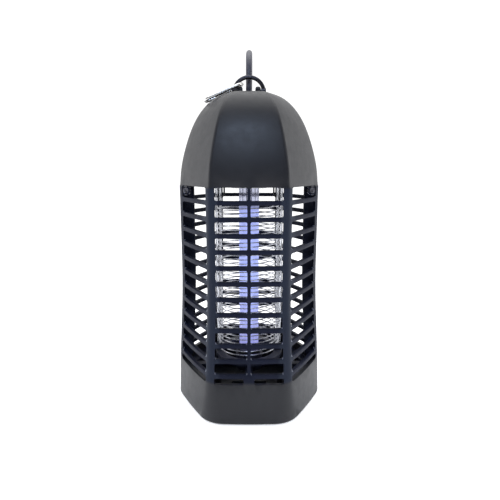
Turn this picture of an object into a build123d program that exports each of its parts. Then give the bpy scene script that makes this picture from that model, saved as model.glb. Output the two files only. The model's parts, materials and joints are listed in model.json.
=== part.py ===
"""Electric bug zapper: hanging lantern with a UV lamp inside a high-voltage wire grid.

Millimetres, +Z up, origin at the centre of the base's underside, front towards -Y.
The body is six-sided, with one facet facing the front and two corners on the X axis.
"""
from build123d import *
import math
import os

# ---- body --------------------------------------------------------------------------------
WAIST_R = 55.5           # corner radius of the straight upper cage
FLARE = 6.8              # how much wider the corners are at the floor
FLARE_TOP = 107.0        # height where the flare has died out
SHARP = 1.0155           # sharp corner radius over rounded corner radius
CORNER_ROUND = 0.085     # corner fillet over corner radius, from the flare upwards
FOOT_ROUND = 0.300       # how much rounder the corners are at the floor
FOOT_EDGE = 2.0          # rounding of the skirt's lower edge
BULGE = 0.022            # outward bow of each facet over corner radius
DOME_STATIONS = (
    (178.4, 55.2), (190.0, 54.0), (201.0, 51.8), (213.0, 48.2),
    (224.0, 43.8), (234.0, 37.9), (241.5, 31.0), (245.8, 24.6), (247.6, 17.5),
)
DOME_TOP = DOME_STATIONS[-1][0]
DOME_BASE = DOME_STATIONS[0][0]
CAGE_WALL = 3.2
DOME_WALL = 2.4
SKIRT_TOP = 32.0

# ---- cage --------------------------------------------------------------------------------
SLAT_COUNT = 12
SLAT_TOP_Z = 167.6       # centre of the highest slat
SLAT_PITCH = 11.75
SLAT_HEIGHT = 3.1
PILLAR_OUT = 2.55        # corner pillar's edges, out and in from the corner's line
PILLAR_IN = 3.9
CENTRE_BAR = 2.4
TAB_WIDTH = 8.0          # wider foot of the centre bar, below the lowest slat
FLANGE = 10.5            # radial depth of the joint flanges on the X axis
FLANGE_THICK = 2.4
FLANGE_GAP = 1.0         # between the flanges and the lower plate's notches
CORNER_POST = 2.6        # width of the corner post outside the side windows
WINDOW_ROUND = 1.1       # rounding of the windows' corners

# ---- shell screws ------------------------------------------------------------------------
SCREW_X = 50.0
SCREW_Z = 174.4
SCREW_BOSS_R = 3.9
SCREW_HEAD_R = 2.5
SCREW_SHANK_R = 1.25
SCREW_SEAT = 5.2         # how far the head's seat is from the joint plane

# ---- carrier plates ----------------------------------------------------------------------
UPPER_PLATE_Z = 179.0
LOWER_PLATE_Z = 22.0
PLATE_THICK = 2.5
PLATE_GAP = 0.3
BOSS_AZIMUTHS = (60, 120, 240, 300)
BOSS_R = 3.1
BOSS_LENGTH = 9.0
UPPER_BOSS_AT = 45.6     # distance of the bosses from the axis
LOWER_BOSS_AT = 49.0
PLATE_SCREW_R = 1.2

# ---- grid --------------------------------------------------------------------------------
GRID_R = 25.0
WIRE_R = 0.45
GRID_PITCH = 6.6
GRID_LOW = 41.0
GRID_TURNS = 18.5
ROD_R = 0.95
ROD_INNER_X = 23.4
ROD_OUTER_X = 26.5
GRID_RING_IN = 21.9
GRID_RING_OUT = 28.3
GRID_POST_Y = 25.1       # the spider's posts under the grid's ring
GRID_RING_Z = 34.5
GRID_RING_THICK = 3.5
HUB_R = 11.5
LEAD_X = 20.5            # where the grid's leads pass the upper plate
LEAD_Y = 8.0
LEAD_R = 0.7

# ---- lamp --------------------------------------------------------------------------------
LAMP_R = 3.75
LAMP_HALF = 4.4          # half the spacing of the two limbs
LAMP_BEND_Z = 43.5       # height of the centre of the U-bend
LAMP_CAP_Z = 176.0
CAP_X = 29.0
CAP_Y = 17.0
CAP_HEIGHT = 12.0
PIN_SPACING = 23.0
PIN_R = 1.2
PIN_LENGTH = 7.0
HOLDER_X = 35.0
HOLDER_Y = 21.0
HOLDER_HEIGHT = 15.0

# ---- driver board ------------------------------------------------------------------------
BOARD_Z = 209.0
BOARD_X = 58.0
BOARD_Y = 38.0
BOARD_THICK = 1.6
POST_R = 2.6
POST_X = 25.0
POST_Y = 15.5

# ---- hanging bail and snap hook ----------------------------------------------------------
BAIL_R = 11.65           # centreline radius of the arch
BAIL_WIRE_R = 1.55
BAIL_CENTRE_Z = 248.75
PIVOT_Z = 250.3
PEG_R = 1.2
PEG_CLEARANCE = 0.05
LUG_IN = 4.9
LUG_OUT = 9.0
LUG_TOP = 253.3
LUG_HALF_Y = 3.2
LUG_ROUND = 1.9
HOOK_ANGLE = 160.0       # where the hook sits on the arch, from +X
HOOK_SLOPE = 23.0        # how steeply the hook lies down
HOOK_BACK = 6.0          # from the arch's wire to the hook's end bow, centre to centre
HOOK_LENGTH = 34.8
HOOK_WIDTH = 12.6
HOOK_WIRE_R = 1.25
GATE_START = 8.0         # from the end bow to the gate's pivot
GATE_LENGTH = 15.0
GATE_R = 1.0
GATE_PIN_R = 0.45

# ---- collection tray ---------------------------------------------------------------------
TRAY_R = 56.6
TRAY_LOW = 0.8
TRAY_HEIGHT = 15.0
TRAY_WALL = 1.8

# ---- mains lead --------------------------------------------------------------------------
CORD_D = 5.0
CORD_Y = 5.2             # the lead leaves the dome just behind the bail
GLAND_R = 4.0
GLAND_FLANGE_R = 4.9
GLAND_TOP = 248.6
COIL_X = 22.0
COIL_Y = 91.0
COIL_R = 27.0            # middle of the turns
CORD_ROUTE = (
    (0, CORD_Y, GLAND_TOP), (0, CORD_Y, 265.5), (0, 15.5, 280.5), (0.3, 35.2, 287.0),
    (0.6, 55.8, 279.6), (0.5, 67.3, 260.0), (0, 68.6, 215.0), (-0.4, 66.4, 160.0),
    (-0.2, 67.4, 105.0), (-0.8, 66.0, 62.0), (-3.0, 67.0, 31.0), (-5.2, 86.0, 9.0),
)
TAIL_ROUTE = (
    (13.5, 63.5, CORD_D / 2), (1.5, 66.4, CORD_D / 2), (-11.0, 67.2, CORD_D / 2),
)
PLUG_DIRECTION = 180.0   # azimuth that the plug's pins point in
PLUG_AT = (-10.0, 67.2)  # where the lead enters the plug
PLUG_FACE = 35.0         # from there to the face that the pins stand on
PLUG_HEAD = 18.0
PLUG_WIDTH = 25.0
PLUG_HALF_THICK = 6.7
PLUG_PIN = 19.0
PLUG_PIN_R = 2.0
PLUG_PIN_Y = 9.3


def drop_below_flare(z):
    """0 from the top of the flare upwards, 1 at the floor."""
    return max(0.0, (FLARE_TOP - z) / FLARE_TOP)


def corner_radius(z):
    """Distance of the body's corners from the axis at height z, below the dome."""
    return WAIST_R + FLARE * drop_below_flare(z) ** 1.35


def plan(radius, z):
    """Six-sided outline with bowed facets and rounded corners, as a face at height z."""
    sharp = radius * SHARP
    corners = [Vector(sharp, 0).rotate(Axis.Z, 60 * k) for k in range(6)]
    apothem = sharp * (math.cos(math.radians(30)) + BULGE)
    sides = []
    for k in range(6):
        middle = Vector(apothem, 0).rotate(Axis.Z, 60 * k + 30)
        sides.append(ThreePointArc(corners[k], middle, corners[(k + 1) % 6]))
    outline = make_face(sides)
    rounding = CORNER_ROUND + FOOT_ROUND * drop_below_flare(z) ** 3
    return Pos(0, 0, z) * fillet(outline.vertices(), radius * rounding)


def lower_body(inset, low, high):
    """Solid of the flared body below the dome, drawn in by inset."""
    steps = 6
    heights = [low + (high - low) * k / steps for k in range(steps + 1)]
    return loft([plan(corner_radius(z) - inset, z) for z in heights])


def dome_body(inset):
    """Solid of the dome, drawn in by inset at its sides and its top."""
    scale = (DOME_TOP - inset - DOME_BASE) / (DOME_TOP - DOME_BASE)
    return loft([
        plan(radius - inset, DOME_BASE + (z - DOME_BASE) * scale) for z, radius in DOME_STATIONS
    ])


def block(x0, x1, y0, y1, z0, z1):
    """Box between two corners."""
    return Pos((x0 + x1) / 2, (y0 + y1) / 2, (z0 + z1) / 2) * Box(x1 - x0, y1 - y0, z1 - z0)


def rod(x, y, z0, z1, radius):
    """Upright cylinder from z0 to z1."""
    return Pos(x, y, (z0 + z1) / 2) * Cylinder(radius, z1 - z0)


def y_rod(x, z, y0, y1, radius):
    """Cylinder along Y from y0 to y1."""
    return Pos(x, (y0 + y1) / 2, z) * Rot(90, 0, 0) * Cylinder(radius, y1 - y0)


def tube(points, radii, radius):
    """Round wire along straight runs joined by tangent arcs."""
    path = FilletPolyline(*points, radius=radii) if radii else Polyline(*points)
    start = Plane(origin=path @ 0, z_dir=path % 0)
    return sweep(start * Circle(radius), path=path)


def at_azimuth(distance, azimuth):
    """Point at a distance from the axis."""
    angle = math.radians(azimuth)
    return distance * math.cos(angle), distance * math.sin(angle)


# ---- shells ------------------------------------------------------------------------------
def window(x0, x1, y0, y1, z0, z1):
    """Cutter for one gap between two slats, with rounded corners."""
    cutter = block(min(x0, x1), max(x0, x1), y0, y1, z0, z1)
    return fillet(cutter.edges().filter_by(Axis.Y), WINDOW_ROUND)


def window_cuts():
    """Gaps between the slats, cut straight through from front to rear."""
    reach = 80
    cuts = []
    tops = [SLAT_TOP_Z - SLAT_PITCH * k for k in range(SLAT_COUNT)]
    highs = [DOME_BASE] + [z - SLAT_HEIGHT / 2 for z in tops]
    lows = [z + SLAT_HEIGHT / 2 for z in tops] + [SKIRT_TOP]
    for index, (low, high) in enumerate(zip(lows, highs)):
        radius = corner_radius((low + high) / 2)
        pillar = radius * SHARP / 2
        bar = TAB_WIDTH / 2 if index == SLAT_COUNT else CENTRE_BAR / 2
        for side in (-1, 1):
            inner = side * (pillar + PILLAR_OUT)
            outer = side * (radius - CORNER_POST)
            cuts.append(window(side * bar, side * (pillar - PILLAR_IN), -reach, reach, low, high))
            cuts.append(window(inner, side * (radius - FLANGE), -reach, reach, low, high))
            cuts.append(window(inner, outer, -reach, -FLANGE_THICK, low, high))
            cuts.append(window(inner, outer, FLANGE_THICK, reach, low, high))
    return cuts


def flanges():
    """Upright joint flanges on the X axis, where the two shells meet."""
    plate = block(-80, 80, -FLANGE_THICK, FLANGE_THICK, 0, DOME_BASE)
    return (plate & lower_body(1.0, 0, DOME_BASE)) - lower_body(FLANGE, -1, DOME_BASE + 1)


def screw_bosses():
    """Bosses for the two long shell screws, reaching out to the facets."""
    shapes = []
    for side in (-1, 1):
        shapes.append(y_rod(side * SCREW_X, SCREW_Z, -14, 14, SCREW_BOSS_R))
        low, high = sorted((side * (SCREW_X - 2), side * (SCREW_X + 4)))
        shapes.append(block(low, high, -10, 10, SCREW_Z, SCREW_Z + SCREW_BOSS_R))
    return shapes


def plate_bosses(distance, z0, z1):
    """Bosses for the screws of a carrier plate, with a web out to each corner."""
    shapes = []
    for azimuth in BOSS_AZIMUTHS:
        x, y = at_azimuth(distance, azimuth)
        shapes.append(rod(x, y, z0, z1, BOSS_R))
        wx, wy = at_azimuth(distance + 4.5, azimuth)
        shapes.append(Pos(wx, wy, (z0 + z1) / 2) * Rot(0, 0, azimuth) * Box(9, 2.2, z1 - z0))
    return shapes


def lugs():
    """Two rounded ears that carry the bail."""
    ears = []
    for side in (-1, 1):
        middle = side * (LUG_IN + LUG_OUT) / 2
        ear = Pos(middle, 0, (DOME_TOP - 1 + LUG_TOP) / 2) * Box(
            LUG_OUT - LUG_IN, 2 * LUG_HALF_Y, LUG_TOP - DOME_TOP + 1)
        top = ear.edges().group_by(Axis.Z)[-1]
        ears.append(fillet(top, LUG_ROUND))
    return ears


def shells():
    """Front and rear half shells: dome, slatted cage and skirt in one moulding each."""
    lower_outside = lower_body(0, 0, DOME_BASE)
    lower_outside = fillet(lower_outside.edges().group_by(Axis.Z)[0], FOOT_EDGE)
    outer = lower_outside + dome_body(0)
    hollow = lower_body(CAGE_WALL, -2, DOME_BASE) + dome_body(DOME_WALL)
    inside_limit = lower_body(1.0, 0, DOME_BASE) + dome_body(1.0)
    wall = outer - hollow
    wall = wall - window_cuts()
    wall = wall + flanges()
    upper = plate_bosses(UPPER_BOSS_AT, UPPER_PLATE_Z + PLATE_THICK,
                         UPPER_PLATE_Z + PLATE_THICK + BOSS_LENGTH)
    lower = plate_bosses(LOWER_BOSS_AT, LOWER_PLATE_Z + PLATE_THICK,
                         LOWER_PLATE_Z + PLATE_THICK + BOSS_LENGTH)
    wall = wall + [shape & inside_limit for shape in screw_bosses() + upper + lower]
    wall = wall + lugs()
    cuts = [rod(0, CORD_Y, DOME_TOP - 6, DOME_TOP + 6, GLAND_R)]
    for side in (-1, 1):
        x = side * SCREW_X
        cuts.append(y_rod(x, SCREW_Z, -30, -SCREW_SEAT, SCREW_HEAD_R + 0.3))
        cuts.append(y_rod(x, SCREW_Z, -SCREW_SEAT - 1, 0, SCREW_SHANK_R + 0.2))
        cuts.append(y_rod(x, SCREW_Z, -1, 9, SCREW_SHANK_R))
        cuts.append(Pos(side * (LUG_IN + LUG_OUT) / 2, 0, PIVOT_Z) * Rot(0, 90, 0)
                    * Cylinder(PEG_R + PEG_CLEARANCE, 8))
    for distance, z in ((UPPER_BOSS_AT, UPPER_PLATE_Z), (LOWER_BOSS_AT, LOWER_PLATE_Z)):
        for azimuth in BOSS_AZIMUTHS:
            x, y = at_azimuth(distance, azimuth)
            cuts.append(rod(x, y, z, z + PLATE_THICK + BOSS_LENGTH - 1.5, PLATE_SCREW_R))
    wall = wall - cuts
    front = wall & block(-90, 90, -90, 0, -5, 300)
    rear = wall & block(-90, 90, 0, 90, -5, 300)
    return front, rear


def shell_screws():
    """Two long screws that pull the half shells together."""
    screws = []
    for side in (-1, 1):
        x = side * SCREW_X
        head = y_rod(x, SCREW_Z, -SCREW_SEAT - 1.7, -SCREW_SEAT, SCREW_HEAD_R)
        shank = y_rod(x, SCREW_Z, -SCREW_SEAT, 8.5, SCREW_SHANK_R)
        slots = [
            Pos(x, -SCREW_SEAT - 1.7, SCREW_Z) * Rot(0, angle, 0) * Box(2.8, 1.4, 0.6)
            for angle in (45, 135)
        ]
        screws.append(head + shank - slots)
    return Compound(screws)


def plate_screws(distance, plate_z):
    """Four short screws, driven up through a carrier plate into the shell bosses."""
    screws = []
    for azimuth in BOSS_AZIMUTHS:
        x, y = at_azimuth(distance, azimuth)
        head = rod(x, y, plate_z - 1.4, plate_z, 2.3)
        shank = rod(x, y, plate_z, plate_z + PLATE_THICK + BOSS_LENGTH - 2, PLATE_SCREW_R)
        slots = [
            Pos(x, y, plate_z - 1.4) * Rot(0, 0, angle) * Box(2.6, 0.55, 1.2) for angle in (0, 90)
        ]
        screws.append(head + shank - slots)
    return Compound(screws)


# ---- carrier plates and grid -------------------------------------------------------------
def rod_places():
    """The four places of the grid's spacer rods."""
    return [(side * x, 0) for side in (-1, 1) for x in (ROD_INNER_X, ROD_OUTER_X)]


def upper_plate():
    """Insulating plate that closes the dome and carries the lamp, the grid and the board."""
    z0, z1 = UPPER_PLATE_Z, UPPER_PLATE_Z + PLATE_THICK
    radius = corner_radius(z0) - CAGE_WALL - PLATE_GAP
    disc = extrude(plan(radius, z0), PLATE_THICK)
    notch = FLANGE - CAGE_WALL - PLATE_GAP + 0.6
    shapes = [rod(side * POST_X, y, z1, BOARD_Z, POST_R) for side in (-1, 1) for y in (-POST_Y, POST_Y)]
    for x, y in rod_places():
        shapes.append(rod(x, y, z0 - 3, z0, ROD_R + 1.2))
    disc = disc + shapes
    cuts = [block(-CAP_X / 2 - 0.5, CAP_X / 2 + 0.5, -CAP_Y / 2 - 0.5, CAP_Y / 2 + 0.5, z0 - 5, z1 + 1)]
    cuts += [rod(x, y, z0 - 4, z0 + 1, ROD_R) for x, y in rod_places()]
    for azimuth in BOSS_AZIMUTHS:
        x, y = at_azimuth(UPPER_BOSS_AT, azimuth)
        cuts.append(rod(x, y, z0 - 1, z1 + 1, PLATE_SCREW_R))
    for side in (-1, 1):
        edge = side * radius
        a, b = sorted((edge - side * notch, edge + side * 5))
        cuts.append(block(a, b, -11, 11, z0 - 1, z1 + 1))
        cuts.append(rod(side * LEAD_X, LEAD_Y, z0 - 1, z1 + 1, LEAD_R + 0.4))
        for y in (-POST_Y, POST_Y):
            cuts.append(rod(side * POST_X, y, BOARD_Z - 6, BOARD_Z + 1, 0.9))
    return disc - cuts


def lower_plate():
    """Open spider that holds the grid's lower end and lets the insects fall through."""
    z0, z1 = LOWER_PLATE_Z, LOWER_PLATE_Z + PLATE_THICK
    radius = corner_radius(z0) - CAGE_WALL - PLATE_GAP
    frame = extrude(plan(radius, z0), PLATE_THICK) - extrude(plan(radius - 9.5, z0 - 1), PLATE_THICK + 2)
    arms = [
        block(-radius + 4, radius - 4, -3, 3, z0, z1),
        block(-3, 3, -radius * 0.87 + 4, radius * 0.87 - 4, z0, z1),
        rod(0, 0, z0, LAMP_BEND_Z - LAMP_HALF - LAMP_R - 0.3, HUB_R),
        rod(0, 0, GRID_RING_Z, GRID_RING_Z + GRID_RING_THICK, GRID_RING_OUT)
        - rod(0, 0, GRID_RING_Z - 1, GRID_RING_Z + GRID_RING_THICK + 1, GRID_RING_IN),
    ]
    for x, y in rod_places():
        arms.append(rod(x, y, z0, GRID_RING_Z + GRID_RING_THICK + 1.5, ROD_R + 1.2))
    for side in (-1, 1):
        arms.append(rod(0, side * GRID_POST_Y, z0, GRID_RING_Z + 1, 2.4))
        a, b = sorted((side * ROD_INNER_X, side * ROD_OUTER_X))
        arms.append(block(a, b, -2, 2, z0, GRID_RING_Z + GRID_RING_THICK))
    frame = frame + arms
    cuts = [rod(x, y, GRID_RING_Z, GRID_RING_Z + 6, ROD_R) for x, y in rod_places()]
    cuts.append(rod(0, 0, z1 + 1.5, LAMP_BEND_Z, HUB_R - 1.8))
    for azimuth in BOSS_AZIMUTHS:
        x, y = at_azimuth(LOWER_BOSS_AT, azimuth)
        cuts.append(rod(x, y, z0 - 1, z1 + 1, PLATE_SCREW_R))
    for side in (-1, 1):
        a, b = sorted((side * (radius - FLANGE + CAGE_WALL - FLANGE_GAP), side * (radius + 5)))
        cuts.append(block(a, b, -FLANGE_THICK - PLATE_GAP, FLANGE_THICK + PLATE_GAP, z0 - 1, z1 + 1))
    return frame - cuts


def lamp_rest():
    """Soft cup on the spider's hub that steadies the lamp's bend."""
    z0 = LOWER_PLATE_Z + PLATE_THICK + 1.5
    cup = rod(0, 0, z0, z0 + 13, HUB_R - 1.9)
    bend = Pos(0, 0, LAMP_BEND_Z) * Box(2 * (LAMP_HALF + LAMP_R) + 0.4, 2 * LAMP_R + 0.4, 24)
    return cup - bend


def grid_rods():
    """Four clear spacer rods that the grid wires run between."""
    return Compound([
        rod(x, y, GRID_RING_Z, UPPER_PLATE_Z, ROD_R) for x, y in rod_places()
    ])


def grid_wire(start_angle):
    """One of the two interleaved helical high-voltage wires."""
    path = Helix(pitch=GRID_PITCH, height=GRID_PITCH * GRID_TURNS, radius=GRID_R)
    section = Plane(origin=path @ 0, z_dir=path % 0) * Circle(WIRE_R)
    wire = sweep(section, path=path, is_frenet=True)
    return Pos(0, 0, GRID_LOW) * Rot(0, 0, start_angle) * wire


def grid_leads():
    """Two leads from the grid's upper ends up through the plate to the board."""
    end = GRID_LOW + GRID_PITCH * GRID_TURNS
    leads = []
    for side in (-1, 1):
        x = side * LEAD_X
        points = [(x, LEAD_Y, BOARD_Z), (x, LEAD_Y, end + 8), (side * (GRID_R - 0.6), 1.4, end + 0.9)]
        leads.append(tube(points, [4.0], LEAD_R))
    return Compound(leads)


# ---- lamp --------------------------------------------------------------------------------
def lamp_tube():
    """U-shaped glass tube."""
    limb = LAMP_CAP_Z + 2
    bend = LAMP_BEND_Z
    left = Line((-LAMP_HALF, 0, limb), (-LAMP_HALF, 0, bend))
    arc = ThreePointArc((-LAMP_HALF, 0, bend), (0, 0, bend - LAMP_HALF), (LAMP_HALF, 0, bend))
    right = Line((LAMP_HALF, 0, bend), (LAMP_HALF, 0, limb))
    section = Pos(-LAMP_HALF, 0, limb) * Circle(LAMP_R)
    return sweep(section, path=Wire([left, arc, right]))


def lamp_cap():
    """Moulded lamp cap with its guide post."""
    cap = Pos(0, 0, LAMP_CAP_Z + CAP_HEIGHT / 2) * Box(CAP_X, CAP_Y, CAP_HEIGHT)
    cap = fillet(cap.edges().filter_by(Axis.Z), 5.0)
    post = block(-5, 5, -4.5, 4.5, LAMP_CAP_Z + CAP_HEIGHT, LAMP_CAP_Z + CAP_HEIGHT + 11)
    sockets = [rod(side * LAMP_HALF, 0, LAMP_CAP_Z - 1, LAMP_CAP_Z + 2, LAMP_R) for side in (-1, 1)]
    return cap + post - sockets


def lamp_pins():
    """The lamp's two contact pins."""
    low = LAMP_CAP_Z + CAP_HEIGHT
    return Compound([
        rod(side * PIN_SPACING / 2, 0, low, low + PIN_LENGTH, PIN_R) for side in (-1, 1)
    ])


def lampholder():
    """Socket block that the lamp plugs up into."""
    low = LAMP_CAP_Z + CAP_HEIGHT + 0.2
    body = Pos(0, 0, low + HOLDER_HEIGHT / 2) * Box(HOLDER_X, HOLDER_Y, HOLDER_HEIGHT)
    body = fillet(body.edges().filter_by(Axis.Z), 2.5)
    feet_low = UPPER_PLATE_Z + PLATE_THICK
    for side in (-1, 1):
        a, b = sorted((side * (CAP_X / 2 + 0.6), side * HOLDER_X / 2))
        body = body + block(a, b, -6, 6, feet_low, low + 1)
    cuts = [block(-5.3, 5.3, -4.8, 4.8, low - 1, low + 11.5)]
    cuts += [rod(side * PIN_SPACING / 2, 0, low - 1, low + PIN_LENGTH + 0.6, PIN_R + 0.35)
             for side in (-1, 1)]
    return body - cuts


# ---- driver board ------------------------------------------------------------------------
def driver_board():
    """Circuit board on the plate's four posts."""
    board = block(-BOARD_X / 2, BOARD_X / 2, -BOARD_Y / 2, BOARD_Y / 2, BOARD_Z, BOARD_Z + BOARD_THICK)
    holes = [rod(side * POST_X, y, BOARD_Z - 1, BOARD_Z + 3, 0.9) for side in (-1, 1)
             for y in (-POST_Y, POST_Y)]
    return board - holes


def board_screws():
    """Four screws that hold the board on its posts."""
    top = BOARD_Z + BOARD_THICK
    return Compound([
        rod(side * POST_X, y, top, top + 1.3, 1.9) + rod(side * POST_X, y, BOARD_Z - 5, top, 0.9)
        for side in (-1, 1) for y in (-POST_Y, POST_Y)
    ])


def film_capacitors():
    """Three box capacitors of the voltage multiplier."""
    top = BOARD_Z + BOARD_THICK
    boxes = []
    for k in range(3):
        y = -10 + 8 * k
        box = block(-19, -6, y, y + 5.5, top, top + 10)
        boxes.append(fillet(box.edges().filter_by(Axis.Z), 0.8))
    return Compound(boxes)


def ballast_choke():
    """Choke that limits the lamp's current, a wound bobbin in a square core."""
    top = BOARD_Z + BOARD_THICK
    core = block(3, 19, -9, 9, top, top + 13)
    windows = block(6, 16, -10, 10, top + 2.5, top + 10.5)
    bobbin = Pos(11, 0, top + 6.5) * Rot(90, 0, 0) * Cylinder(3.9, 14)
    return core - windows + bobbin


def smoothing_capacitor():
    """Upright can capacitor."""
    top = BOARD_Z + BOARD_THICK
    can = rod(24.3, 6, top, top + 12, 4.0)
    return fillet(can.edges().group_by(Axis.Z)[-1], 0.7)


def diodes():
    """Four rectifier diodes in a row."""
    top = BOARD_Z + BOARD_THICK
    return Compound([
        Pos(-24.5, -8.5 + 5.5 * k, top + 1.4) * Rot(0, 90, 0) * Cylinder(1.4, 5) for k in range(4)
    ])


# ---- mains entry -------------------------------------------------------------------------
def cord_gland():
    """Rubber gland in the dome's crown."""
    gland = rod(0, CORD_Y, DOME_TOP - DOME_WALL - 1.4, GLAND_TOP, GLAND_R - 0.02)
    gland = gland + rod(0, CORD_Y, DOME_TOP, GLAND_TOP, GLAND_FLANGE_R)
    gland = gland + rod(0, CORD_Y, DOME_TOP - DOME_WALL - 1.4, DOME_TOP - DOME_WALL, GLAND_FLANGE_R)
    return gland - rod(0, CORD_Y, DOME_TOP - 8, GLAND_TOP + 1, CORD_D / 2)


def cord_inner_end():
    """End of the lead inside the dome, down to where its sheath is stripped."""
    return rod(0, CORD_Y, 230.0, GLAND_TOP, CORD_D / 2)


def cord_stop():
    """Collar clamped round the lead inside the dome, which takes a pull on it."""
    collar = Pos(0, CORD_Y, 239.5) * Box(11, 9, 6.5)
    collar = fillet(collar.edges().filter_by(Axis.Z), 2.0)
    return collar - rod(0, CORD_Y, 230, 250, CORD_D / 2)


def supply_leads():
    """Two insulated conductors from the lead's end to the board."""
    low = BOARD_Z + BOARD_THICK
    return Compound([
        rod(side * 1.1, CORD_Y, low, 230.0, 0.8) for side in (-1, 1)
    ])


def lamp_leads():
    """Two conductors from the lampholder up to the board."""
    low = LAMP_CAP_Z + CAP_HEIGHT + 0.2 + HOLDER_HEIGHT
    return Compound([
        rod(side * PIN_SPACING / 2, 5, low, BOARD_Z, 0.7) for side in (-1, 1)
    ])


def route_radii(points, diameter, name):
    """Arc radius at each corner of a route, as large as its two runs allow."""
    vectors = [Vector(*p) for p in points]
    radii = []
    for before, here, after in zip(vectors, vectors[1:], vectors[2:]):
        run_in, run_out = here - before, after - here
        half_turn = math.radians(run_in.get_angle(run_out)) / 2
        radii.append(0.45 * min(run_in.length, run_out.length) / math.tan(half_turn))
    print(name, "radii in diameters:", [round(r / diameter, 1) for r in radii])
    return radii


def cord_solid(points, name):
    """Tube of the lead along a route, with its volume compared with section times length."""
    radii = route_radii(points, CORD_D, name)
    path = FilletPolyline(*points, radius=radii)
    start = Plane(origin=path @ 0, z_dir=path % 0)
    solid = sweep(start * Circle(CORD_D / 2), path=path)
    expected = math.pi * CORD_D ** 2 / 4 * path.length
    print(name, "length", round(path.length, 1), "volume ratio", round(solid.volume / expected, 4))
    return solid


def cord_coil():
    """Outer shape of the coiled part of the lead, two turns wide and two high."""
    ring = rod(COIL_X, COIL_Y, 0, 2 * CORD_D - 0.4, COIL_R + CORD_D)
    ring = ring - rod(COIL_X, COIL_Y, -1, 2 * CORD_D + 1, COIL_R - CORD_D)
    return fillet(ring.edges(), 2.0)


def plug_frame():
    """Location of the plug: x along its pins, on the floor."""
    return Pos(PLUG_AT[0], PLUG_AT[1], 0) * Rot(0, 0, PLUG_DIRECTION)


def plug_body():
    """Flat two-pin plug with a tapered tail."""
    thick = 2 * PLUG_HALF_THICK
    head = Pos(PLUG_FACE - PLUG_HEAD / 2, 0, PLUG_HALF_THICK) * Box(PLUG_HEAD, PLUG_WIDTH, thick)
    head = fillet(head.edges(), 3.2)
    tail_end = PLUG_FACE - PLUG_HEAD + 2
    tail = loft([
        Plane(origin=(0, 0, CORD_D / 2 + 0.6), z_dir=(1, 0, 0)) * Circle(CORD_D / 2 + 0.5),
        Plane(origin=(tail_end, 0, PLUG_HALF_THICK), z_dir=(1, 0, 0)) * Circle(5.2),
    ])
    return plug_frame() * (head + tail)


def plug_pins():
    """The plug's two pins."""
    return Compound([
        plug_frame() * Pos(PLUG_FACE + PLUG_PIN / 2, side * PLUG_PIN_Y, PLUG_HALF_THICK)
        * Rot(0, 90, 0) * Cylinder(PLUG_PIN_R, PLUG_PIN)
        for side in (-1, 1)
    ])


# ---- bail, hook and tray -----------------------------------------------------------------
def bail():
    """Hanging bail: an arch with an eye and an inward peg at each foot."""
    rise = PIVOT_Z - BAIL_CENTRE_Z
    foot = math.sqrt(BAIL_R ** 2 - rise ** 2)
    arch = ThreePointArc((-foot, 0, PIVOT_Z), (0, 0, BAIL_CENTRE_Z + BAIL_R), (foot, 0, PIVOT_Z))
    shape = sweep(Plane(origin=arch @ 0, z_dir=arch % 0) * Circle(BAIL_WIRE_R), path=arch)
    inner = LUG_OUT + 0.35
    for side in (-1, 1):
        outer_end = foot + BAIL_WIRE_R
        a, b = sorted((side * inner, side * outer_end))
        shape = shape + Pos((a + b) / 2, 0, PIVOT_Z) * Rot(0, 90, 0) * Cylinder(2.1, b - a)
        a, b = sorted((side * (LUG_IN + 0.5), side * (inner + 0.1)))
        shape = shape + Pos((a + b) / 2, 0, PIVOT_Z) * Rot(0, 90, 0) * Cylinder(PEG_R, b - a)
    return shape


def hook_frame_location():
    """Hook's own frame: x along the hook from the bail's wire, y across it, z out of it."""
    angle = math.radians(HOOK_ANGLE)
    origin = (BAIL_R * math.cos(angle), 0, BAIL_CENTRE_Z + BAIL_R * math.sin(angle))
    return Pos(*origin) * Rot(0, 0, 180) * Rot(0, HOOK_SLOPE, 0)


def hook_frame():
    """Snap hook's bent wire frame, open along the gate."""
    half = HOOK_WIDTH / 2 - HOOK_WIRE_R
    start = -HOOK_BACK + half
    end = HOOK_LENGTH - HOOK_BACK - 2 * HOOK_WIRE_R - half
    gate_low = -HOOK_BACK + GATE_START
    gate_high = gate_low + GATE_LENGTH
    runs = [
        Line((gate_low, -half, 0), (start, -half, 0)),
        ThreePointArc((start, -half, 0), (start - half, 0, 0), (start, half, 0)),
        Line((start, half, 0), (end, half, 0)),
        ThreePointArc((end, half, 0), (end + half, 0, 0), (end, -half, 0)),
        Line((end, -half, 0), (gate_high, -half, 0)),
    ]
    path = Wire(runs)
    section = Plane(origin=path @ 0, z_dir=path % 0) * Circle(HOOK_WIRE_R)
    frame = sweep(section, path=path)
    ears = Pos(gate_low + 0.6, -half, 0) * Box(3.4, 2.6, 3.6)
    slot = Pos(gate_low + 1.6, -half, 0) * Box(4.6, 4, 2 * GATE_R + 0.1)
    hole = Pos(gate_low + 1.0, -half, 0) * Cylinder(GATE_PIN_R, 8)
    return hook_frame_location() * (frame + ears - slot - hole)


def gate_pivot():
    """Point of the gate's pivot in the hook's frame."""
    return -HOOK_BACK + GATE_START + 1.0, -(HOOK_WIDTH / 2 - HOOK_WIRE_R)


def hook_gate():
    """Snap hook's gate."""
    x, y = gate_pivot()
    length = GATE_LENGTH - 1.0 - 0.35
    bar = Pos(x + length / 2, y, 0) * Rot(0, 90, 0) * Cylinder(GATE_R, length)
    eye = Pos(x, y, 0) * Cylinder(1.15, 2 * GATE_R - 0.1)
    hole = Pos(x, y, 0) * Cylinder(GATE_PIN_R + 0.04, 8)
    return hook_frame_location() * (bar + eye - hole)


def gate_pin():
    """Pivot pin of the gate."""
    x, y = gate_pivot()
    return hook_frame_location() * Pos(x, y, 0) * Cylinder(GATE_PIN_R, 3.6)


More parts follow.
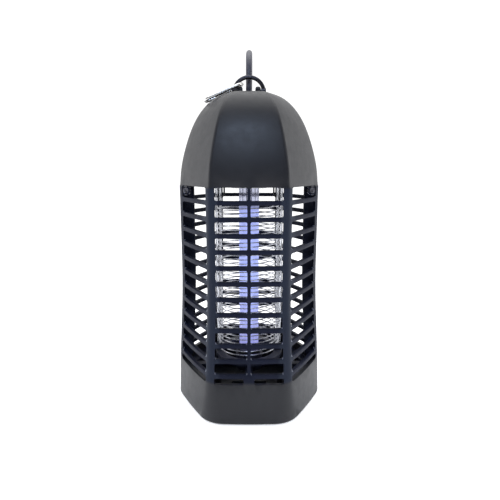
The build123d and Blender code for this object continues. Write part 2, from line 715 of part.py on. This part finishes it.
def collection_tray():
    """Pan under the grid that catches the insects, drawn out downwards."""
    pan = extrude(plan(TRAY_R, TRAY_LOW), TRAY_HEIGHT)
    inside = extrude(plan(TRAY_R - TRAY_WALL, TRAY_LOW + TRAY_WALL), TRAY_HEIGHT)
    grip = Pos(0, 0, TRAY_LOW + 3.5) * Box(30, 4, 7)
    cups = [Pos(0, side * 9, TRAY_LOW) * Box(26, 12, 6.4) for side in (-1, 1)]
    cover = block(-16, 16, -17, 17, TRAY_LOW, TRAY_LOW + 5)
    slots = []
    for side in (-1, 1):
        a, b = sorted((side * (TRAY_R - FLANGE - 4), side * (TRAY_R + 4)))
        slots.append(block(a, b, -FLANGE_THICK - 0.8, FLANGE_THICK + 0.8, TRAY_LOW - 1, 20))
    notch_walls = []
    for side in (-1, 1):
        a, b = sorted((side * (TRAY_R - FLANGE - 4 - TRAY_WALL), side * (TRAY_R - 1.5)))
        reach = FLANGE_THICK + 0.8 + TRAY_WALL
        notch_walls.append(block(a, b, -reach, reach, TRAY_LOW, TRAY_LOW + TRAY_HEIGHT))
    return pan - inside + cover + notch_walls + grip - cups - slots


def write(name, shape):
    """Save one sub-part."""
    export_step(shape, f"parts/{name}.step")


def main():
    os.makedirs("parts", exist_ok=True)
    front, rear = shells()
    write("front_shell", front)
    write("rear_shell", rear)
    write("shell_screws", shell_screws())
    write("upper_plate", upper_plate())
    write("lower_plate", lower_plate())
    write("upper_plate_screws", plate_screws(UPPER_BOSS_AT, UPPER_PLATE_Z))
    write("lower_plate_screws", plate_screws(LOWER_BOSS_AT, LOWER_PLATE_Z))
    write("lamp_rest", lamp_rest())
    write("grid_rods", grid_rods())
    write("grid_wire_live", grid_wire(0))
    write("grid_wire_return", grid_wire(180))
    write("grid_leads", grid_leads())
    write("lamp_tube", lamp_tube())
    write("lamp_cap", lamp_cap())
    write("lamp_pins", lamp_pins())
    write("lampholder", lampholder())
    write("lamp_leads", lamp_leads())
    write("driver_board", driver_board())
    write("board_screws", board_screws())
    write("film_capacitors", film_capacitors())
    write("ballast_choke", ballast_choke())
    write("smoothing_capacitor", smoothing_capacitor())
    write("rectifier_diodes", diodes())
    write("supply_leads", supply_leads())
    write("cord_gland", cord_gland())
    write("cord_inner_end", cord_inner_end())
    write("cord_stop", cord_stop())
    write("mains_cord", cord_solid(CORD_ROUTE, "mains_cord"))
    write("cord_coil", cord_coil())
    write("cord_tail", cord_solid(TAIL_ROUTE, "cord_tail"))
    write("plug_body", plug_body())
    write("plug_pins", plug_pins())
    write("bail", bail())
    write("hook_frame", hook_frame())
    write("hook_gate", hook_gate())
    write("gate_pin", gate_pin())
    write("collection_tray", collection_tray())


main()
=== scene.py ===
"""Looks of the electric bug zapper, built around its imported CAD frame. Metres, +Z up, front towards -Y."""

import json
import math

import bmesh
import bpy
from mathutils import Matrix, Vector


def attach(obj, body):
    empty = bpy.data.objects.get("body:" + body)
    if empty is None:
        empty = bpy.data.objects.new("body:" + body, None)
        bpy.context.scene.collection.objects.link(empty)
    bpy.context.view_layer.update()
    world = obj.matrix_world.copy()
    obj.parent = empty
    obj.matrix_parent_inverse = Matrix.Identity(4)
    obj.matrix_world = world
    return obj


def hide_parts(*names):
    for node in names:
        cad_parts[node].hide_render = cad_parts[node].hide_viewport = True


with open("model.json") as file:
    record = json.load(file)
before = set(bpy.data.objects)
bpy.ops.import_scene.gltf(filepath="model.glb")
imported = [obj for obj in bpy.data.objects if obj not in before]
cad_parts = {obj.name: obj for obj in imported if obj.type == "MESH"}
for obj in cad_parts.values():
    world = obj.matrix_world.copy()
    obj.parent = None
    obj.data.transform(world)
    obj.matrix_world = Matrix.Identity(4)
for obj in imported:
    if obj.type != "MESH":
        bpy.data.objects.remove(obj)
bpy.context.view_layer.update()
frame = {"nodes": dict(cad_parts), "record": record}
MM = 0.001

# ---- camera and lead ---------------------------------------------------------------------
CAMERA_AT = (0.0, -0.3456, 0.1923)
CAMERA_PITCH = 11.05
CAMERA_LENS = 30.5
CAMERA_SHIFT = 0.002

CORD_D = 5.0
EXIT = (0, 5.2, 248.6)
CORD_ROUTE = (
    EXIT, (0, 5.2, 265.5), (0, 15.5, 280.5), (0.3, 35.2, 287.0),
    (0.6, 55.8, 279.6), (0.5, 67.3, 260.0), (0, 68.6, 215.0), (-0.4, 66.4, 160.0),
    (-0.2, 67.4, 105.0), (-0.8, 66.0, 62.0), (-3.0, 67.0, 31.0),
)
TAIL_ROUTE = ((1.5, 66.4, CORD_D / 2), (-11.0, 67.2, CORD_D / 2))
COIL_AT = (22.0, 91.0)
COIL_STRANDS = ((29.5, 7.1), (24.5, 7.1), (24.5, 2.5), (29.5, 2.5))
COIL_START = 186.0       # azimuth where the lead joins the coil
COIL_SWEEP = 1371.0      # degrees that it is wound through
LANDING = (6.0, 2.7, 0.7)  # how much higher the coil's first points are, where the lead comes down
COIL_STEPS = 64
SWAP_START = 0.3         # share of a strand's length after which the lead moves to the next strand
SWAP_SHARE = 0.4         # and share that the move takes


def add_camera():
    """Camera in front of the lantern, looking slightly down."""
    camera = bpy.data.cameras.new("camera")
    camera.lens = CAMERA_LENS
    camera.shift_x = CAMERA_SHIFT
    holder = bpy.data.objects.new("camera", camera)
    holder.location = CAMERA_AT
    holder.rotation_euler = (math.radians(90 - CAMERA_PITCH), 0, 0)
    bpy.context.scene.collection.objects.link(holder)
    bpy.context.scene.camera = holder


def smooth(t):
    """Smooth step from 0 to 1."""
    t = min(1.0, max(0.0, t))
    return t * t * (3 - 2 * t)


def coil_points():
    """Turns of the put-away lead: two strands side by side, two layers high."""
    points = []
    last = len(COIL_STRANDS) - 1
    for k in range(COIL_STEPS + 1):
        share = k / COIL_STEPS
        place = share * (last + 1) - 0.5
        index = min(last, max(0, int(math.floor(place))))
        mix = smooth((place - index - SWAP_START) / SWAP_SHARE) if place > 0 else 0
        here = COIL_STRANDS[index]
        after = COIL_STRANDS[min(last, index + 1)]
        radius = here[0] + (after[0] - here[0]) * mix
        height = here[1] + (after[1] - here[1]) * mix
        if k < len(LANDING):
            height += LANDING[k]
        angle = math.radians(COIL_START - COIL_SWEEP * share)
        x = COIL_AT[0] + radius * math.cos(angle)
        y = COIL_AT[1] + radius * math.sin(angle)
        points.append((x, y, height))
    return points


def add_cord():
    """Mains lead: up out of the crown, over and down behind the lantern, coiled, and on to its plug."""
    points = [*CORD_ROUTE, *coil_points(), *TAIL_ROUTE]
    curve = bpy.data.curves.new("mains_lead", "CURVE")
    curve.dimensions = "3D"
    curve.bevel_depth = 1.0
    curve.bevel_resolution = 6
    curve.use_fill_caps = True
    curve.resolution_u = 10
    spline = curve.splines.new("NURBS")
    spline.points.add(len(points) - 1)
    for point, place in zip(spline.points, points):
        point.co = (place[0] * MM, place[1] * MM, place[2] * MM, 1)
        point.radius = CORD_D / 2 * MM
    spline.order_u = 3
    spline.use_endpoint_u = True
    lead = bpy.data.objects.new("mains_lead", curve)
    bpy.context.scene.collection.objects.link(lead)
    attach(lead, "housing")
    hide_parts("mains_cord", "cord_coil", "cord_tail")
    return lead


add_camera()
LEAD = add_cord()


# ---- rounded mouldings -------------------------------------------------------------------
BODY_OF = {
    name: body for body, names in frame["record"]["behaviour"]["bodies"].items() for name in names
}
SHARP_ANGLE = 35         # edges that turn by more than this many degrees are rounded
WELD = 0.002             # points closer than this are one
FLAT_ANGLE = 0.2         # faces that turn by less than this many degrees are one
EDGE_SEGMENTS = 3
EDGE_RADII = {
    "front_shell": 0.65, "rear_shell": 0.65, "upper_plate": 0.3, "lower_plate": 0.3,
    "collection_tray": 0.4, "lamp_cap": 0.5, "lampholder": 0.4, "plug_body": 0.3,
    "cord_gland": 0.35, "cord_stop": 0.3, "lamp_rest": 0.3, "bail": 0.2, "hook_frame": 0.15,
    "hook_gate": 0.12, "film_capacitors": 0.25, "smoothing_capacitor": 0.2, "ballast_choke": 0.3,
    "driver_board": 0.12, "rectifier_diodes": 0.15, "shell_screws": 0.16,
    "upper_plate_screws": 0.14, "lower_plate_screws": 0.14, "board_screws": 0.12,
    "plug_pins": 0.5, "lamp_pins": 0.25, "gate_pin": 0.1,
}


def rounded(node, radius):
    """Copy of a CAD piece with its moulding's rounded edges, which stands for that piece."""
    data = frame["nodes"][node].data.copy()
    mesh = bmesh.new()
    mesh.from_mesh(data)
    bmesh.ops.remove_doubles(mesh, verts=mesh.verts, dist=WELD * MM)
    bmesh.ops.dissolve_limit(
        mesh, angle_limit=math.radians(FLAT_ANGLE), verts=mesh.verts, edges=mesh.edges)
    for face in mesh.faces:
        face.smooth = True
    mesh.to_mesh(data)
    mesh.free()
    piece = bpy.data.objects.new(node + "_moulded", data)
    bpy.context.scene.collection.objects.link(piece)
    edge = piece.modifiers.new("rounded_edges", "BEVEL")
    edge.width = radius * MM
    edge.segments = EDGE_SEGMENTS
    edge.limit_method = "ANGLE"
    edge.angle_limit = math.radians(SHARP_ANGLE)
    edge.use_clamp_overlap = True
    edge.harden_normals = True
    edge.miter_outer = "MITER_ARC"
    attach(piece, BODY_OF[node])
    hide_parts(node)
    return piece


PIECES = {node: rounded(node, radius) for node, radius in EDGE_RADII.items()}


# ---- materials ---------------------------------------------------------------------------
class Shader:
    """A material's node tree, with short calls for the nodes that the materials share."""

    def __init__(self, name):
        self.material = bpy.data.materials.new(name)
        self.material.use_nodes = True
        self.tree = self.material.node_tree
        self.surface = self.tree.nodes["Principled BSDF"]
        self.place = self.add("ShaderNodeTexCoord").outputs["Object"]

    def add(self, kind, **settings):
        """New node with some of its settings."""
        node = self.tree.nodes.new(kind)
        for key, value in settings.items():
            setattr(node, key, value)
        return node

    def link(self, source, target):
        """Wire from one socket to another."""
        self.tree.links.new(source, target)

    def set(self, **values):
        """Plain values of the surface's own sockets."""
        for key, value in values.items():
            self.surface.inputs[key.replace("_", " ")].default_value = value

    def noise(self, scale, detail=3.0, roughness=0.55, stretch=None):
        """Noise in the object's own space, with scale in features per metre."""
        node = self.add("ShaderNodeTexNoise")
        node.inputs["Scale"].default_value = scale
        node.inputs["Detail"].default_value = detail
        node.inputs["Roughness"].default_value = roughness
        source = self.place
        if stretch:
            mapping = self.add("ShaderNodeMapping")
            mapping.inputs["Scale"].default_value = stretch
            self.link(self.place, mapping.inputs["Vector"])
            source = mapping.outputs["Vector"]
        self.link(source, node.inputs["Vector"])
        return node.outputs["Fac"]

    def ramp(self, source, *stops):
        """Colour ramp over source, with stops of (position, colour)."""
        node = self.add("ShaderNodeValToRGB")
        elements = node.color_ramp.elements
        while len(elements) < len(stops):
            elements.new(0.5)
        for element, (position, colour) in zip(elements, stops):
            element.position = position
            element.color = (*colour, 1)
        self.link(source, node.inputs["Fac"])
        return node.outputs["Color"]

    def range(self, source, low, high, from_low=0.3, from_high=0.7):
        """Source mapped on to a range of values."""
        node = self.add("ShaderNodeMapRange")
        node.inputs["From Min"].default_value = from_low
        node.inputs["From Max"].default_value = from_high
        node.inputs["To Min"].default_value = low
        node.inputs["To Max"].default_value = high
        self.link(source, node.inputs["Value"])
        return node.outputs["Result"]

    def math(self, operation, *values):
        """Arithmetic on sources or plain numbers."""
        node = self.add("ShaderNodeMath", operation=operation)
        for socket, value in zip(node.inputs, values):
            if isinstance(value, (int, float)):
                socket.default_value = value
            else:
                self.link(value, socket)
        return node.outputs["Value"]

    def mix(self, factor, first, second):
        """Blend of two colours, each a source or plain numbers, by a source."""
        node = self.add("ShaderNodeMixRGB")
        self.link(factor, node.inputs["Fac"])
        for socket, colour in zip((node.inputs["Color1"], node.inputs["Color2"]), (first, second)):
            if isinstance(colour, tuple):
                socket.default_value = (*colour, 1)
            else:
                self.link(colour, socket)
        return node.outputs["Color"]

    def band(self, source, low, high, soft):
        """1 where the source's size is between two values, 0 elsewhere, with soft ends."""
        size = self.math("ABSOLUTE", source)
        rise = self.range(size, 0, 1, low - soft, low + soft)
        return self.math("MULTIPLY", rise, self.range(size, 1, 0, high - soft, high + soft))

    def bump(self, source, strength, distance, under=None):
        """Bump from source, on top of another bump if one is given."""
        node = self.add("ShaderNodeBump")
        node.inputs["Strength"].default_value = strength
        node.inputs["Distance"].default_value = distance
        self.link(source, node.inputs["Height"])
        if under is not None:
            self.link(under, node.inputs["Normal"])
        self.link(node.outputs["Normal"], self.surface.inputs["Normal"])
        return node.outputs["Normal"]


FLOW_SCALE = 26          # features per metre of the plastic's flow marks,
GLOSS_SCALE = 140        # of its uneven gloss,
WAVE_SCALE = 60          # of its faint waviness
SPARK_SCALE = 5200       # and of its fine spark texture
SPARK_DEPTH = 0.00004
WAVE_DEPTH = 0.0004
FLOW_STRETCH = (1, 1, 0.35)


def moulded_plastic(name, dark, light, rough=(0.36, 0.48), grain=SPARK_SCALE):
    """Injection-moulded plastic: fine spark texture, faint flow marks and uneven gloss."""
    shader = Shader(name)
    flow = shader.noise(FLOW_SCALE, 4, 0.6, FLOW_STRETCH)
    shader.link(shader.ramp(flow, (0.3, dark), (0.7, light)), shader.surface.inputs["Base Color"])
    gloss = shader.noise(GLOSS_SCALE, 5, 0.6)
    shader.link(shader.range(gloss, *rough), shader.surface.inputs["Roughness"])
    fine = shader.bump(shader.noise(grain, 2), 0.35, SPARK_DEPTH)
    shader.bump(shader.noise(WAVE_SCALE, 2), 0.05, WAVE_DEPTH, fine)
    shader.set(IOR=1.49)
    return shader.material


CAGE_LOW = 0.033         # the cage's fine-textured zone between the skirt and the dome, which also gets a darker, bluer painted shade
CAGE_HIGH = 0.178
ZONE_EDGE = 0.0012
PILLAR_BAND = (0.0225, 0.0335, 0.001)  # how far out the cage's front and rear pillars stand; there the cage gets a lighter, bluer painted light
PILLAR_PAINTED_LIGHT = (0.018, 0.023, 0.038)
HIGHLIT_EDGE_SLOPE = (0.45, 0.955, 0.03)  # slope band of the slats' rounded edges, where a pale painted highlight goes
PAINTED_HIGHLIGHT_TINT = (0.24, 0.25, 0.30)
SMOOTH_TINTS = ((0.3, (0.0100, 0.0105, 0.0140)), (0.7, (0.0145, 0.0150, 0.0190)))
CAGE_SHADE_TINTS = ((0.3, (0.0060, 0.0080, 0.0190)), (0.7, (0.0100, 0.0125, 0.0270)))
SMOOTH_SHINE = 0.36
CAGE_SHINE = 0.1
CAGE_DULLER = 0.12


def shell_plastic():
    """Satin black housing: smooth dome and skirt, and a finer, duller texture on the cage, whose colour is
    painted darker and bluer as shade.
    """
    shader = Shader("shell_plastic")
    split = shader.add("ShaderNodeSeparateXYZ")
    shader.link(shader.place, split.inputs["Vector"])
    below = shader.range(split.outputs["Z"], 1, 0, CAGE_HIGH - ZONE_EDGE, CAGE_HIGH + ZONE_EDGE)
    above = shader.range(split.outputs["Z"], 0, 1, CAGE_LOW - ZONE_EDGE, CAGE_LOW + ZONE_EDGE)
    cage = shader.math("MULTIPLY", below, above)
    flow = shader.noise(FLOW_SCALE, 4, 0.6, FLOW_STRETCH)
    smooth_part = shader.ramp(flow, *SMOOTH_TINTS)
    # painted shade: the cage zone's colour is darker and bluer than the dome and skirt
    cage_shade_and_light = shader.ramp(flow, *CAGE_SHADE_TINTS)
    # painted light: the front and rear pillars are coloured lighter and bluer, as if lit from the front
    lit_pillar = shader.math("MULTIPLY", shader.band(split.outputs["X"], *PILLAR_BAND), cage)
    cage_shade_and_light = shader.mix(lit_pillar, cage_shade_and_light, PILLAR_PAINTED_LIGHT)
    normal = shader.add("ShaderNodeSeparateXYZ")
    shader.link(shader.add("ShaderNodeTexCoord").outputs["Normal"], normal.inputs["Vector"])
    # painted highlight: the slats' up-sloping rounded edges are coloured pale, as if catching the top light
    painted_highlight = shader.math("MULTIPLY", shader.band(normal.outputs["Z"], *HIGHLIT_EDGE_SLOPE), cage)
    cage_shade_and_light = shader.mix(painted_highlight, cage_shade_and_light, PAINTED_HIGHLIGHT_TINT)
    shader.link(shader.mix(cage, smooth_part, cage_shade_and_light), shader.surface.inputs["Base Color"])
    shine = shader.range(cage, SMOOTH_SHINE, CAGE_SHINE, 0.0, 1.0)
    shader.link(shine, shader.surface.inputs["Specular IOR Level"])
    gloss = shader.noise(GLOSS_SCALE, 5, 0.6)
    duller = shader.math("MULTIPLY", cage, CAGE_DULLER)
    rough = shader.math("ADD", shader.range(gloss, 0.36, 0.46), duller)
    shader.link(rough, shader.surface.inputs["Roughness"])
    fine = shader.bump(shader.noise(SPARK_SCALE, 2), 0.3, SPARK_DEPTH)
    shader.bump(shader.noise(WAVE_SCALE, 2), 0.05, WAVE_DEPTH, fine)
    shader.set(IOR=1.46)
    return shader.material


def metal(name, dark, light, rough=(0.2, 0.35), stretch=(1, 1, 1), scale=1400, depth=0.00002):
    """Metal with fine drawing or tumbling marks and a slightly uneven tint."""
    shader = Shader(name)
    tint = shader.noise(90, 4)
    shader.link(shader.ramp(tint, (0.3, dark), (0.7, light)), shader.surface.inputs["Base Color"])
    marks = shader.noise(scale, 4, 0.6, stretch)
    shader.link(shader.range(marks, *rough), shader.surface.inputs["Roughness"])
    shader.bump(marks, 0.3, depth)
    shader.set(Metallic=1.0)
    return shader.material


def rubber(name, dark, light, rough=(0.45, 0.6), stretch=None):
    """Soft sheath or gland: smooth, with a faint drag texture and dull sheen."""
    shader = Shader(name)
    shade = shader.noise(60, 4, 0.6, stretch)
    shader.link(shader.ramp(shade, (0.3, dark), (0.7, light)), shader.surface.inputs["Base Color"])
    drag = shader.noise(900, 3, 0.6, stretch)
    shader.link(shader.range(drag, *rough), shader.surface.inputs["Roughness"])
    shader.bump(drag, 0.25, 0.00005)
    return shader.material


LAMP_LOW = 0.042         # ends of the lamp's coated, glowing length
LAMP_HIGH = 0.1635
LAMP_FADE = 0.012        # how far the glow reaches past them
CLEAR_EDGE = 0.0012      # length that the coating thins out over
CLEAR_SHARE = 0.92


def lamp_glass():
    """Coated lamp tube: glows violet along its coated length and is clear grey at its ends."""
    shader = Shader("lamp_glow")
    split = shader.add("ShaderNodeSeparateXYZ")
    shader.link(shader.place, split.inputs["Vector"])
    height = shader.range(split.outputs["Z"], 0.0, 1.0, LAMP_LOW - LAMP_FADE, LAMP_HIGH + LAMP_FADE)
    glow = shader.ramp(
        height, (0.0, (0.10, 0.06, 0.12)), (0.10, (0.24, 0.25, 0.62)), (0.5, (0.27, 0.34, 0.80)),
        (0.88, (0.25, 0.30, 0.72)), (0.91, (0.03, 0.03, 0.05)), (1.0, (0.0, 0.0, 0.0)))
    shader.link(glow, shader.surface.inputs["Emission Color"])
    coating = shader.noise(260, 4, 0.6)
    shader.link(shader.ramp(coating, (0.3, (0.46, 0.48, 0.62)), (0.7, (0.56, 0.58, 0.72))),
                shader.surface.inputs["Base Color"])
    shader.link(shader.range(coating, 0.08, 0.2), shader.surface.inputs["Roughness"])
    shader.bump(shader.noise(180, 2), 0.08, 0.0002)
    clear = shader.range(split.outputs["Z"], 0, CLEAR_SHARE, LAMP_HIGH, LAMP_HIGH + CLEAR_EDGE)
    shader.link(clear, shader.surface.inputs["Transmission Weight"])
    shader.set(Emission_Strength=0.95, IOR=1.5)
    return shader.material


def clear_rod():
    """Clear spacer rod with a few scratches."""
    shader = Shader("clear_rod")
    scratch = shader.noise(2600, 3, 0.6, (1, 1, 0.08))
    shader.link(shader.ramp(scratch, (0.35, (0.62, 0.64, 0.70)), (0.65, (0.86, 0.88, 0.93))),
                shader.surface.inputs["Base Color"])
    shader.link(shader.range(scratch, 0.08, 0.3), shader.surface.inputs["Roughness"])
    shader.bump(scratch, 0.25, 0.00004)
    shader.set(IOR=1.49, Transmission_Weight=0.9)
    return shader.material


def circuit_board():
    """Brown laminate with a faint weave."""
    shader = Shader("laminate")
    weave = shader.add("ShaderNodeTexWave", wave_type="BANDS", bands_direction="DIAGONAL")
    weave.inputs["Scale"].default_value = 900
    weave.inputs["Distortion"].default_value = 2.0
    shader.link(shader.place, weave.inputs["Vector"])
    shader.link(shader.ramp(weave.outputs["Fac"], (0.2, (0.26, 0.17, 0.06)), (0.8, (0.34, 0.23, 0.09))),
                shader.surface.inputs["Base Color"])
    shader.link(shader.range(shader.noise(300), 0.35, 0.5), shader.surface.inputs["Roughness"])
    shader.bump(weave.outputs["Fac"], 0.2, 0.00005)
    return shader.material


SHELL = shell_plastic()
INNER = moulded_plastic("inner_plastic", (0.016, 0.020, 0.042), (0.024, 0.029, 0.058), (0.42, 0.55))
TRAY = moulded_plastic("tray_plastic", (0.016, 0.017, 0.021), (0.023, 0.024, 0.029), (0.4, 0.52))
WHITE = moulded_plastic("white_plastic", (0.62, 0.61, 0.57), (0.70, 0.69, 0.65), (0.28, 0.4))
RED = moulded_plastic("dipped_red", (0.33, 0.03, 0.015), (0.42, 0.05, 0.02), (0.12, 0.25), 900)
BLACK = moulded_plastic("moulded_black", (0.012, 0.012, 0.014), (0.018, 0.018, 0.02), (0.2, 0.35))
PLUG = moulded_plastic("plug_plastic", (0.016, 0.016, 0.020), (0.024, 0.024, 0.029), (0.42, 0.55))
SHEATH = rubber("lead_sheath", (0.030, 0.031, 0.048), (0.046, 0.047, 0.068), (0.38, 0.52))
GLAND = rubber("gland_rubber", (0.016, 0.016, 0.021), (0.024, 0.024, 0.030))
INSULATION = rubber("wire_insulation", (0.42, 0.03, 0.02), (0.52, 0.05, 0.03), (0.3, 0.42))
WIRE = metal("grid_wire", (0.46, 0.47, 0.52), (0.66, 0.67, 0.72), (0.2, 0.38))
SCREW = metal("black_screw", (0.10, 0.10, 0.12), (0.17, 0.17, 0.19), (0.3, 0.48))
BAIL = metal("enamelled_wire", (0.030, 0.030, 0.038), (0.048, 0.048, 0.058), (0.28, 0.42))
NICKEL = metal("nickel", (0.52, 0.52, 0.52), (0.74, 0.73, 0.71), (0.12, 0.3))
BRASS = metal("brass", (0.66, 0.46, 0.18), (0.78, 0.57, 0.25), (0.18, 0.32))
CAN = metal("can", (0.52, 0.53, 0.55), (0.66, 0.67, 0.69), (0.25, 0.4))
FERRITE = metal("ferrite", (0.07, 0.065, 0.06), (0.11, 0.10, 0.09), (0.5, 0.7))
LAMP = lamp_glass()
ROD = clear_rod()
BOARD = circuit_board()

NODE_MATERIALS = {
    "front_shell": SHELL, "rear_shell": SHELL, "shell_screws": SCREW, "upper_plate": INNER,
    "lower_plate": INNER, "upper_plate_screws": SCREW, "lower_plate_screws": SCREW,
    "lamp_rest": GLAND, "grid_rods": ROD, "grid_wire_live": WIRE, "grid_wire_return": WIRE,
    "grid_leads": GLAND, "lamp_tube": LAMP, "lamp_cap": WHITE, "lamp_pins": BRASS,
    "lampholder": WHITE, "lamp_leads": INSULATION, "driver_board": BOARD, "board_screws": SCREW,
    "film_capacitors": RED, "ballast_choke": FERRITE, "smoothing_capacitor": CAN,
    "rectifier_diodes": BLACK, "supply_leads": INSULATION, "cord_gland": GLAND,
    "cord_inner_end": SHEATH, "cord_stop": WHITE, "plug_body": PLUG, "plug_pins": NICKEL,
    "bail": BAIL, "hook_frame": NICKEL, "gate_pin": NICKEL, "hook_gate": NICKEL,
    "collection_tray": TRAY,
}


def paint(piece, material):
    """Give a piece one material on every face."""
    slots = piece.data.materials
    for index in range(len(slots)):
        slots[index] = material
    if not slots:
        slots.append(material)


def paint_frame():
    """Give every CAD node its material."""
    for name, material in NODE_MATERIALS.items():
        paint(PIECES.get(name) or frame["nodes"][name], material)
    paint(LEAD, SHEATH)


# ---- room --------------------------------------------------------------------------------
WORLD_BACK = 1.15        # how brightly the surroundings light the lantern from behind
WORLD_FRONT = 0.12       # and from the front
WORLD_FADE = (-0.5, 0.3)  # where along Y, of a unit direction, one gives way to the other
FLOOR_SIZE = 6
FLOOR_GLOW = 0.5
MIDDLE = (0, 0, 0.14)
FLOOR_POINT = (0, 0, 0)
WHITE_LIGHT = (1, 1, 1)
SKY_LIGHT = (0.62, 0.76, 1.0)
LIGHTS = (               # name, place, aim, size in metres, power in watts, colour
    ("top", (0, 0.2, 1.3), FLOOR_POINT, (1.2, 1.2), 9.0, WHITE_LIGHT),
    ("front", (-0.04, -0.75, 0.85), MIDDLE, (0.4, 0.3), 3.6, SKY_LIGHT),
    ("left", (-0.9, 0.1, 0.35), MIDDLE, (0.5, 0.9), 3.0, WHITE_LIGHT),
    ("right", (0.9, 0.1, 0.35), MIDDLE, (0.5, 0.9), 3.0, WHITE_LIGHT),
)


def add_floor():
    """Plain white floor."""
    shader = Shader("floor_paint")
    shade = shader.noise(3, 2)
    shader.link(shader.ramp(shade, (0.3, (0.90, 0.90, 0.905)), (0.7, (0.93, 0.93, 0.935))),
                shader.surface.inputs["Base Color"])
    shader.set(Roughness=0.7, Emission_Color=(1, 1, 1, 1), Emission_Strength=FLOOR_GLOW)
    mesh = bmesh.new()
    bmesh.ops.create_grid(mesh, x_segments=2, y_segments=2, size=FLOOR_SIZE)
    data = bpy.data.meshes.new("floor")
    mesh.to_mesh(data)
    mesh.free()
    floor = bpy.data.objects.new("floor", data)
    data.materials.append(shader.material)
    bpy.context.scene.collection.objects.link(floor)


def add_light(name, place, aim, size, power, colour):
    """Soft rectangular light."""
    light = bpy.data.lights.new(name, "AREA")
    light.shape = "RECTANGLE"
    light.size, light.size_y = size
    light.energy = power
    light.color = colour
    holder = bpy.data.objects.new(name, light)
    holder.location = place
    holder.rotation_euler = (Vector(aim) - Vector(place)).to_track_quat("-Z", "Y").to_euler()
    bpy.context.scene.collection.objects.link(holder)


def add_world():
    """White all round, but casting less light from the front, as in a studio with a lit backdrop."""
    world = bpy.data.worlds.new("studio")
    world.use_nodes = True
    tree = world.node_tree
    background = tree.nodes["Background"]
    place = tree.nodes.new("ShaderNodeTexCoord")
    split = tree.nodes.new("ShaderNodeSeparateXYZ")
    fade = tree.nodes.new("ShaderNodeMapRange")
    fade.interpolation_type = "SMOOTHSTEP"
    fade.inputs["From Min"].default_value = WORLD_FADE[0]
    fade.inputs["From Max"].default_value = WORLD_FADE[1]
    fade.inputs["To Min"].default_value = WORLD_FRONT
    fade.inputs["To Max"].default_value = WORLD_BACK
    tree.links.new(place.outputs["Generated"], split.inputs["Vector"])
    tree.links.new(split.outputs["Y"], fade.inputs["Value"])
    seen = tree.nodes.new("ShaderNodeLightPath")
    clear = tree.nodes.new("ShaderNodeMath")
    clear.operation = "MAXIMUM"
    tree.links.new(fade.outputs["Result"], clear.inputs[0])
    tree.links.new(seen.outputs["Is Camera Ray"], clear.inputs[1])
    tree.links.new(clear.outputs["Value"], background.inputs["Strength"])
    background.inputs["Color"].default_value = (1.0, 1.0, 1.0, 1)
    bpy.context.scene.world = world


def add_room():
    """White surroundings and soft lights."""
    bpy.context.scene.view_settings.view_transform = "Standard"
    add_floor()
    add_world()
    for light in LIGHTS:
        add_light(*light)


paint_frame()
add_room()

bpy.context.view_layer.update()
